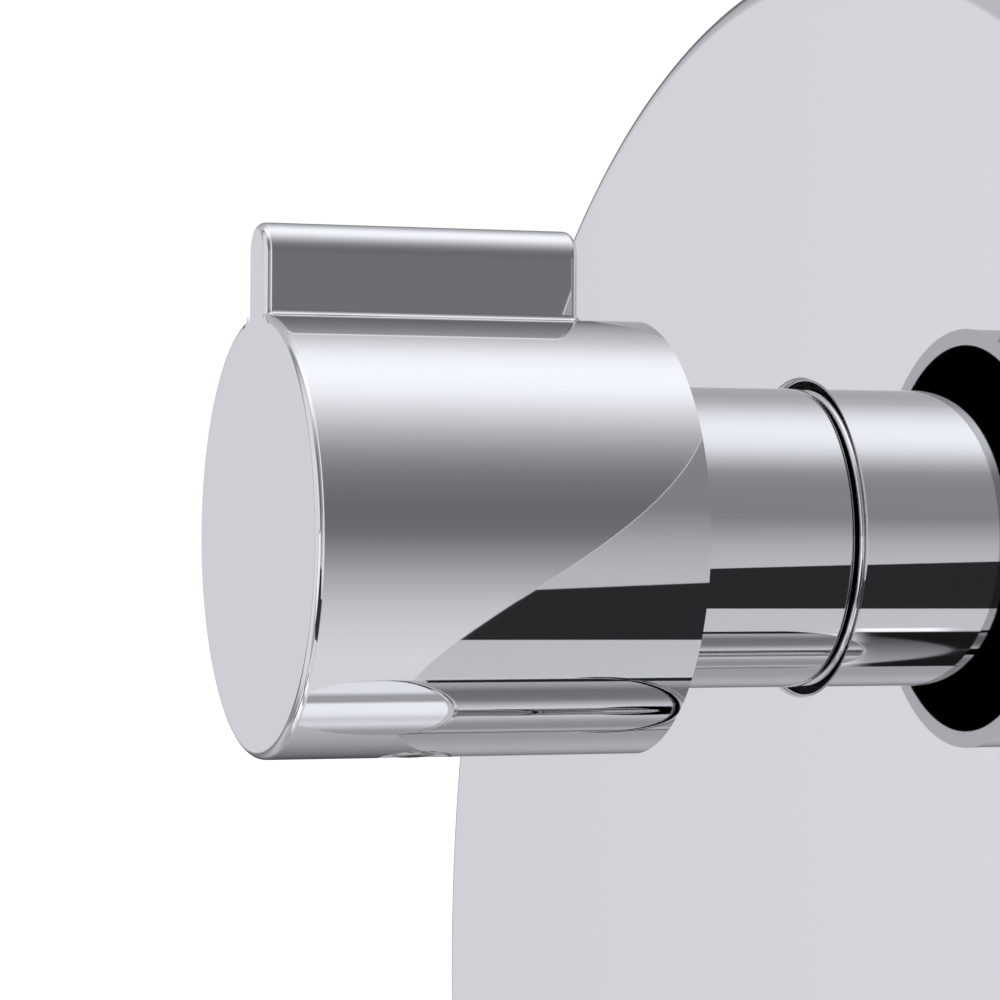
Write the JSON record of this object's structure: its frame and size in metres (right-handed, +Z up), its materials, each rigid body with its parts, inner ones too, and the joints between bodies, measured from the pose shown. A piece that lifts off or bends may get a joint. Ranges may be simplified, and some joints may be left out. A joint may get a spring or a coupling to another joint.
{
  "type": "concealed wall mixer with two round controls on a round plate",
  "caption": "Chrome wall mixer trim: a round plate with a small finned flow knob above and a larger temperature knob below, on a concealed brass valve body.",
  "frame": {"origin": "centre of the round wall plate, on the plane of the finished wall", "axes": "+Z up the wall, -Y straight out of the wall towards the user, +X to the right as the user faces the wall"},
  "size_m": [0.22, 0.1443, 0.22],
  "materials": {
    "chrome": "mirror polished chrome",
    "rubber": "soft black",
    "brass": "raw cast and turned brass",
    "steel": "plain stainless",
    "plastic": "off-white",
    "disc": "lapped ceramic"
  },
  "bodies": {
    "mixer_body": {"wall_plate": "chrome", "plate_gasket": "rubber", "upper_hole_seal": "rubber", "lower_hole_seal": "rubber", "upper_sleeve": "chrome", "lower_collar": "chrome", "valve_body": "brass", "fixing_bracket": "steel", "bracket_screws": "steel", "inlet_strainers": "steel", "inlet_check_valves": "plastic", "flow_cartridge": "plastic", "flow_cartridge_nut": "brass", "flow_cartridge_seal": "rubber", "fixed_ceramic": "disc", "thermostat_cartridge": "plastic", "thermostat_nut": "brass", "thermostat_seal": "rubber", "return_spring": "steel", "temperature_stop_ring": "plastic"},
    "flow_control": {"flow_knob": "chrome", "flow_neck": "chrome", "flow_insert": "plastic", "flow_set_screw": "steel", "flow_spindle": "brass", "moving_ceramic": "disc"},
    "temperature_control": {"temperature_knob": "chrome", "temperature_insert": "plastic", "temperature_set_screw": "steel", "temperature_spindle": "brass"},
    "regulator": {"regulating_piston": "plastic", "wax_element": "brass"}
  },
  "joints": [
    {"name": "flow_turn", "type": "hinge", "parent": "mixer_body", "child": "flow_control", "pos_m": [0, 0, 0.0532], "axis": [0, -1, 0], "range_deg": [-90, 90]},
    {"name": "temperature_turn", "type": "hinge", "parent": "mixer_body", "child": "temperature_control", "pos_m": [0, 0, -0.0384], "axis": [0, -1, 0], "range_deg": [-100, 100]},
    {"name": "regulator_slide", "type": "slide", "parent": "mixer_body", "child": "regulator", "axis": [0, 1, 0], "range_m": [-0.0013, 0.0013], "deforming": ["return_spring"]}
  ],
  "couplings": [
    {"joint": "regulator_slide", "follows": "temperature_turn", "m_per_rad": 0.00063662}
  ]
}
